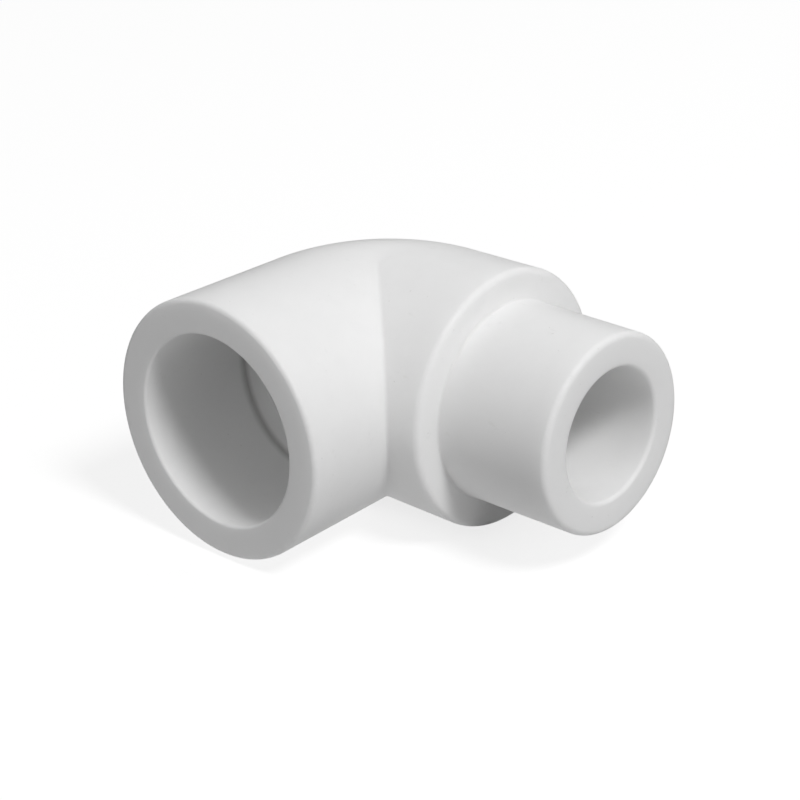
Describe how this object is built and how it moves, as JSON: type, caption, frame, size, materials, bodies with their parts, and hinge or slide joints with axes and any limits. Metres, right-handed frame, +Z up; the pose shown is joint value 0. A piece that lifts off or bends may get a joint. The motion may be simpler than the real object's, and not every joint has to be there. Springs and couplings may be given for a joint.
{
  "type": "street elbow pipe fitting",
  "caption": "Right-angle street elbow for fusion-welded plastic water pipe: a deep socket at one end and a plain spigot at the other.",
  "frame": {"origin": "centre of the bounding box's bottom face, on the surface the elbow rests on; the bend centre is at (-10.35, 6.25, 16.5) mm", "axes": "+X out of the spigot along its axis, -Y out of the socket along its axis, +Z up, square to both axes"},
  "size_m": [0.0538, 0.045, 0.033],
  "materials": {
    "white_plastic": "satin, as moulded"
  },
  "bodies": {
    "root": {"elbow_moulding": "white_plastic"}
  },
  "joints": []
}
